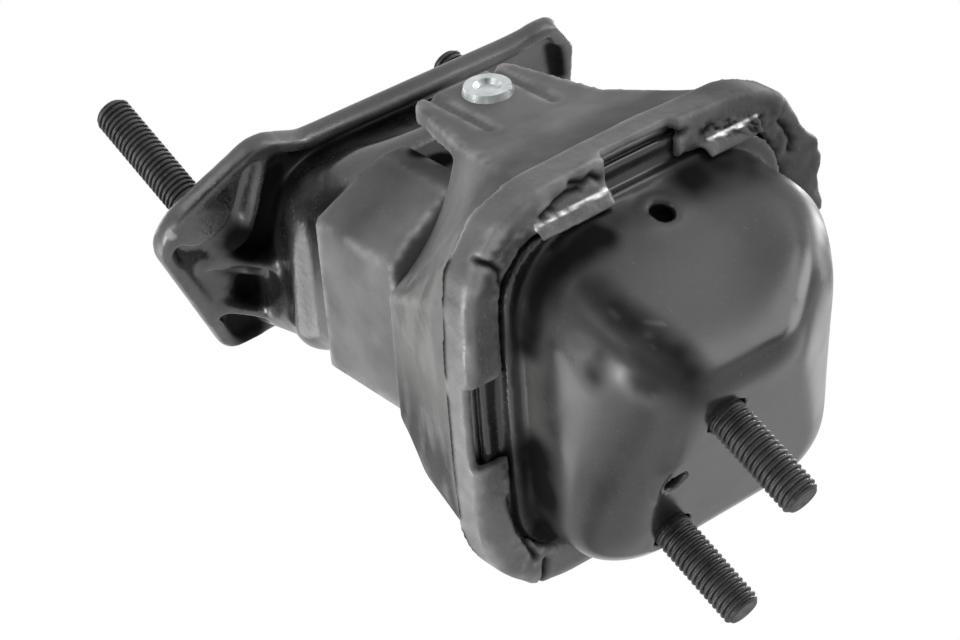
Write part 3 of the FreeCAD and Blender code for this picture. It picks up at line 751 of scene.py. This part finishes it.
# %% Pinches, bulges and cracks
CRACKS = (
    ((-45.5, -23.0), (-44.5, -28.0), (-42.5, -34.5), (-39.0, -43.5)),
    ((-49.0, 43.5), (-45.5, 41.0), (-43.5, 38.5), (-43.0, 35.0)),
    ((-27.5, 49.0), (-23.0, 50.0), (-19.0, 49.5)),
    ((-21.5, 52.0), (-18.0, 50.5), (-15.5, 51.5), (-13.0, 49.5)),
    ((-31.0, 47.5), (-29.5, 48.5), (-27.5, 48.0)),
    ((44.0, 41.5), (46.5, 38.5), (47.5, 35.0), (46.5, 32.0)),
    ((-38.5, -52.5), (-37.0, -50.0), (-36.0, -46.5)),
    ((5.0, 50.5), (9.0, 51.0), (13.0, 51.0)),
)
BULGES = (
    ((-43.5, 49.5), 3.5), ((-50.5, 38.0), 3.0), ((-38.5, -51.5), 3.0),
    ((-30.0, 49.5), 2.5), ((44.5, 46.5), 4.0),
)
CRACK_WIDTH, CRACK_DEPTH, BULGE_HEIGHT = 0.9, 1.3, 0.9

can_points = read_points(can.data)
can_body = to_body(can_points)
across, up, out = can_body.T
face = can_body[:, :2]
front = rise(out, -3.5, -1.5)
ring = rise(out, -12, -10)
push = (0.2 * ripple(can_points, 12, 1) + 0.05 * ripple(can_points, 3, 2)) * ring
sheared = rise(np.abs(face).max(axis=1), 47.5, 45) * front * (1 - 0.75 * (out > 0.6 * MM))
push += 0.5 * sheared * ripple(can_points, 2.2, 3)
cracked = np.maximum.reduce([bell(away_from(face, path), CRACK_WIDTH) for path in CRACKS]) * front
for path in CRACKS:
    push -= CRACK_DEPTH * bell(away_from(face, path), CRACK_WIDTH) * front
for spot, reach in BULGES:
    push += BULGE_HEIGHT * bell(away_from(face, (spot,)), reach) * ring
print("deepest push:", round(float(push.min()), 2), "mm")

# %% [markdown]
# The tool slid along the curled lips and wore them down to bright steel, and behind the right
# one it scraped off a strip of coat. Noise breaks up both, or they would look ruled.

# %% Bare steel and the scraped strip
# Start and end of a line across, up and out, and half the width of the bare steel
BARE_LINES = (
    (((-33.0, 45.8, 0.8), (-20.0, 46.3, 0.7)), 0.3),
    (((-20.0, 46.3, 0.7), (-11.5, 46.4, 0.7)), 0.7),
    (((20.5, 46.5, 0.6), (28.0, 46.3, 0.7)), 0.5),
    (((28.0, 46.3, 0.7), (36.0, 46.2, 0.7)), 0.3),
)
SCRAPED = ((20.0, 48.5), (24.5, 48.0), (32.5, 46.0), (39.0, 44.0))

bare = np.zeros(len(face))
uneven = ripple(can_points, 2.4, 4)
for line, half_width in BARE_LINES:
    push += 0.3 * along_path(can_body, line, 4.0)
    near = along_path(can_body, line, half_width + 0.9)
    bare = np.maximum(bare, np.clip(3 * near - 1.6 + 1.6 * uneven, 0, 1))
scraped = rise(away_from(face, SCRAPED), 3.36, 0.96) * front
scraped *= np.clip(0.5 + 2 * ripple(can_points, 1.5, 5), 0, 1)
push -= 0.5 * scraped
can_points = can_points + point_normals(can.data) * (push * MM)[:, None]
print("points on bare steel:", int((bare > 0.5).sum()))

# %% [markdown]
# The right tab has torn and stands away from the joint. It moves across and a little out, more
# in some places than in others.

# %% Torn tab
TORN_LOW, TORN_HIGH, TORN_FADE = 7.0, 37.0, 5.0
TORN_ACROSS, TORN_OUT = 3.2, 0.8

torn = rise(up, TORN_LOW, TORN_LOW + TORN_FADE) * rise(up, TORN_HIGH, TORN_HIGH - TORN_FADE)
torn *= rise(across, 44, 50) * rise(out, -8, -4)
pulled = torn * (1 + 0.55 * ripple(can_points, 4, 6))
can_points = can_points + pulled[:, None] * (TORN_ACROSS * BODY[0] + TORN_OUT * BODY[2]) * MM
write_points(can.data, can_points)
find_edges(can.data, 0.2)
print("torn tab moves up to", round(float(pulled.max()) * TORN_ACROSS, 1), "mm")

# %% [markdown]
# Dirt settles in the cracks and on the scraped strip. The torn tab and the whole right side are
# darkened with painted shade. On the left, a black ragged line of painted shadow runs along the
# ring's back edge, under the shield's torn lip. Bare steel stays clean.

# %% Can's dirt and painted shade
# Painted shade over the right side of the ring.
right_side_shade = 0.5 * rise(across, 8, 33) * ring
# Painted shadow of the shield's torn lip along the ring's back edge.
lip_shadow = bell(out + 8.6 * MM, 0.8) * rise(across, -48, -51)
lip_shadow *= np.clip(1.1 + 2.2 * ripple(can_points, 6, 11), 0, 1)
# Real dirt in the cracks and on the scraped strip; painted shade on the torn tab and the right
# side, painted shadow at the lip.
dirt_and_shade = np.maximum.reduce((cracked, scraped, 0.55 * torn, right_side_shade, lip_shadow))
mark(can.data, "bare", bare)
mark(can.data, "soot_and_painted_shade", dirt_and_shade * (1 - bare))
print("crimp marks:", len(BARE_LINES) + len(CRACKS) + len(BULGES))

# %% [markdown]
# ## Pressed cup
#
# The press can't draw a sharp crease in thick sheet, so the wall's faces run into each other
# over wide soft bends. Only the flange, the step, the drilled holes and the studs' seats stay
# crisp, so they are held.

# %% Cup's soft bends
cup = even_skin("lower_cup", "pressed_cup", 0.9, 10, press_paint)
STUD_SEATS = ((23.2, 0.0, 1.0), (-23.2, 0.0, 1.0))
VENTS = ((3.3, -8.3, 1.0), (37.0, 15.0, 45.6))
cup_points = read_points(cup.data)
hold = rise(to_body(cup_points)[:, 2], 6.5, 1.5)
for spot in STUD_SEATS + VENTS:
    hold = np.maximum(hold, np.clip(2.5 * along_path(cup_points, (spot,), 13.0), 0, 1))
soften(cup.data, 220, give_back=0.75, hold=hold)
find_edges(cup.data, 0.3)
print("softened points:", int((hold < 0.5).sum()))

# %% [markdown]
# The ground between the crimp and the bend of the wall, the band under the can's tabs and the
# valley along the ramp's edge are painted dull and dark: painted shade, the can's painted shadow
# and painted dark reflections. Clouds of noise keep the dark places from ending in a line.

# %% Cup's painted shade
# A broken line in millimetres, its reach, and how dark its painted shade is
PAINTED_SHADE_PATHS = (
    (((37.5, -3.0, 47.5), (36.0, -12.0, 46.5), (32.0, -17.5, 46.0), (25.5, -21.5, 44.0),
      (17.0, -22.5, 41.0)), 9.0, 1.0),
    (((36.5, -14.0, 37.0), (37.5, -13.0, 28.5), (37.5, -10.5, 21.0), (37.5, -9.5, 14.0),
      (37.0, -10.0, 7.5)), 8.0, 0.75),
    (((-10.5, -22.5, 28.0), (-22.5, -22.5, 22.5), (-37.0, -18.0, 19.5)), 11.0, 1.1),
    (((28.5, -21.0, 31.0), (31.5, -19.5, 24.0)), 5.0, 0.45),
    (((31.5, -17.5, 13.5), (35.0, -11.5, 4.5)), 7.0, 0.6),
    (((37.5, 27.5, 50.0), (37.5, 36.0, 49.0), (36.5, 44.5, 47.0), (35.0, 49.5, 43.0)),
     13.0, 0.85),
    (((37.5, -1.0, 48.5), (37.5, 13.0, 49.5), (37.5, 27.0, 50.0)), 8.0, 0.5),
    (((33.0, 54.0, 33.0), (31.5, 51.5, 25.0), (33.0, 44.5, 17.5)), 10.0, 0.75),
    (((30.5, -20.5, 23.5), (26.0, -21.0, 23.0)), 8.0, 0.6),
)
cup_points = read_points(cup.data)
painted_shade = np.maximum.reduce([dark * along_path(cup_points, path, reach)
                           for path, reach, dark in PAINTED_SHADE_PATHS])
cloudy = 1 + 0.35 * ripple(cup_points, 11, 9) + 0.2 * ripple(cup_points, 4, 10)
# The soot mark on the cup holds painted shade only.
mark(cup.data, "soot_and_painted_shade", 1.05 * painted_shade * cloudy)
print("dull places:", len(PAINTED_SHADE_PATHS))

# %% [markdown]
# A thin pale painted sheen lies on the wall between the two dark places. The parts that stand proud
# carry small pale scuffs from handling.

# %% Cup's painted sheen and scuffs
PAINTED_SHEEN_BAND = ((14.0, -22.5, 39.0), (4.0, -22.5, 35.0), (-7.0, -22.5, 30.0))
SCUFFS = (
    (((37.0, -14.0, 29.5), (37.0, -14.0, 27.5)), 1.3),
    (((38.0, -10.0, 23.0), (38.0, -7.0, 20.5)), 1.1),
    (((37.5, -11.5, 20.0),), 1.6),
    (((37.0, -11.5, 13.0), (37.0, -11.0, 11.5)), 0.9),
    (((37.5, -12.5, 17.0),), 0.9),
    (((31.5, -16.5, 9.5),), 1.2),
)
# Painted sheen along the wall, and real scuffs on the proud parts.
scuffs_and_sheen = 0.2 * along_path(cup_points, PAINTED_SHEEN_BAND, 9.0)
for path, reach in SCUFFS:
    scuffs_and_sheen = np.maximum(scuffs_and_sheen, 0.6 * along_path(cup_points, path, reach))
mark(cup.data, "scuff_and_painted_light", scuffs_and_sheen)
print("scuffs:", len(SCUFFS))

# %% [markdown]
# ## Rolled threads
#
# The studs carry a coarse metric thread with a pitch of 1.5 mm, rolled from bar, then phosphated.
# The helix is one grid of points: the next column starts a little further along, and after
# a full turn it meets the row one pitch on. So the thread is one closed mesh with a true run-out
# and no seam.

# %% Threaded bar
PITCH = 1.5 * MM
THREAD_DEPTH = 0.6 * PITCH
STUD_RADIUS = 4.9 * MM
CHAMFER, CHAMFER_SLOPE = 1.1 * MM, 0.9
TURN = 40
# Height of the flank over one pitch, from root to crest and back
SHAPE = (0.0, 0.12, 0.85, 1.0, 1.0, 0.85, 0.12, 0.0)
STEPS = len(SHAPE)


def thread_reach(row, height, length, plain):
    """Radius of the bar at a row of the grid: plain, then threaded, with a chamfered end."""
    threaded = min(max((height - plain) / PITCH, 0), 1)
    reach = STUD_RADIUS - THREAD_DEPTH * (1 - SHAPE[row % STEPS]) * threaded
    return min(reach, STUD_RADIUS - CHAMFER + max(length - height, 0) * CHAMFER_SLOPE)


def thread_grid(start, end, plain):
    """Points and faces of a bar from start to end, plain up to a length."""
    length = (end - start).length
    turn_to = (end - start).to_track_quat("Z", "Y")
    rows = range(-STEPS, int((length / PITCH + 1) * STEPS) + 1)
    points = []
    for row in rows:
        for column in range(TURN):
            height = min(max(PITCH * (row / STEPS + column / TURN), 0.0), length)
            reach = thread_reach(row, height, length, plain)
            angle = 2 * math.pi * column / TURN
            spoke = Vector((reach * math.cos(angle), reach * math.sin(angle), height))
            points.append(start + turn_to @ spoke)
    faces = []
    for row in range(len(rows)):
        for column in range(TURN):
            # The last column meets the first one a full pitch further on
            step, beside = (0, column + 1) if column < TURN - 1 else (STEPS, 0)
            corners = ((row, column), (row + step, beside),
                       (row + step + 1, beside), (row + 1, column))
            if all(r < len(rows) for r, c in corners):
                faces.append([r * TURN + c for r, c in corners])
    return points, faces


def threaded_bar(name, node, start, end, plain):
    """A threaded bar that stands in for a stud's CAD node."""
    points, faces = thread_grid(Vector(start), Vector(end), plain)
    mesh = bpy.data.meshes.new(name)
    mesh.from_pydata(points, [], faces)
    bm = bmesh.new()
    bm.from_mesh(mesh)
    bmesh.ops.remove_doubles(bm, verts=bm.verts, dist=0.01 * MM)
    bmesh.ops.holes_fill(bm, edges=[e for e in bm.edges if e.is_boundary], sides=0)
    bmesh.ops.recalc_face_normals(bm, faces=bm.faces)
    bm.to_mesh(mesh)
    bm.free()
    mesh.materials.append(phosphate)
    mesh.polygons.foreach_set("use_smooth", [True] * len(mesh.polygons))
    bar = bpy.data.objects.new(name, mesh)
    scene.collection.objects.link(bar)
    crests = bar.modifiers.new("edges", "EDGE_SPLIT")
    crests.split_angle = math.radians(38)
    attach(bar, "root")
    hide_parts(node)
    print(name, "faces:", len(mesh.polygons))


# %% [markdown]
# The lower studs hang from the cup and start above its sheet, inside their heads. The upper
# ones stand on the plate and keep a longer plain length, where the bar passes through it.

# %% Four studs
INTO_HEAD = 4 * MM
for side in ("front", "rear"):
    low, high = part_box("lower_stud_" + side)
    x, y = (low[0] + high[0]) / 2, (low[1] + high[1]) / 2
    threaded_bar("lower_thread_" + side, "lower_stud_" + side,
                 (x, y, high[2] - INTO_HEAD), (x, y, low[2]), plain=2.5 * MM)
for side in ("front", "rear"):
    low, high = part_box("upper_stud_" + side)
    x, y = (low[0] + high[0]) / 2, (low[1] + high[1]) / 2
    threaded_bar("upper_thread_" + side, "upper_stud_" + side,
                 (x, y, low[2]), (x, y, high[2]), plain=5 * MM)

# %% [markdown]
# ## Plain nodes
#
# The rivet's CAD solid already has its true shape, with the rolled head and the hollow end. The
# pieces sealed inside are never seen. All of them keep their solids and get their finish.

# %% Plain nodes
PLAIN = {
    "shield_rivet": zinc,
    "rubber_spring": spring_rubber,
    "track_upper": track_metal,
    "track_lower": track_metal,
    "decoupler_disc": shield_rubber,
    "diaphragm": shield_rubber,
}
for node, material in PLAIN.items():
    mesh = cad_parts[node].data
    mesh.materials.clear()
    mesh.materials.append(material)
print("plain nodes:", len(PLAIN))
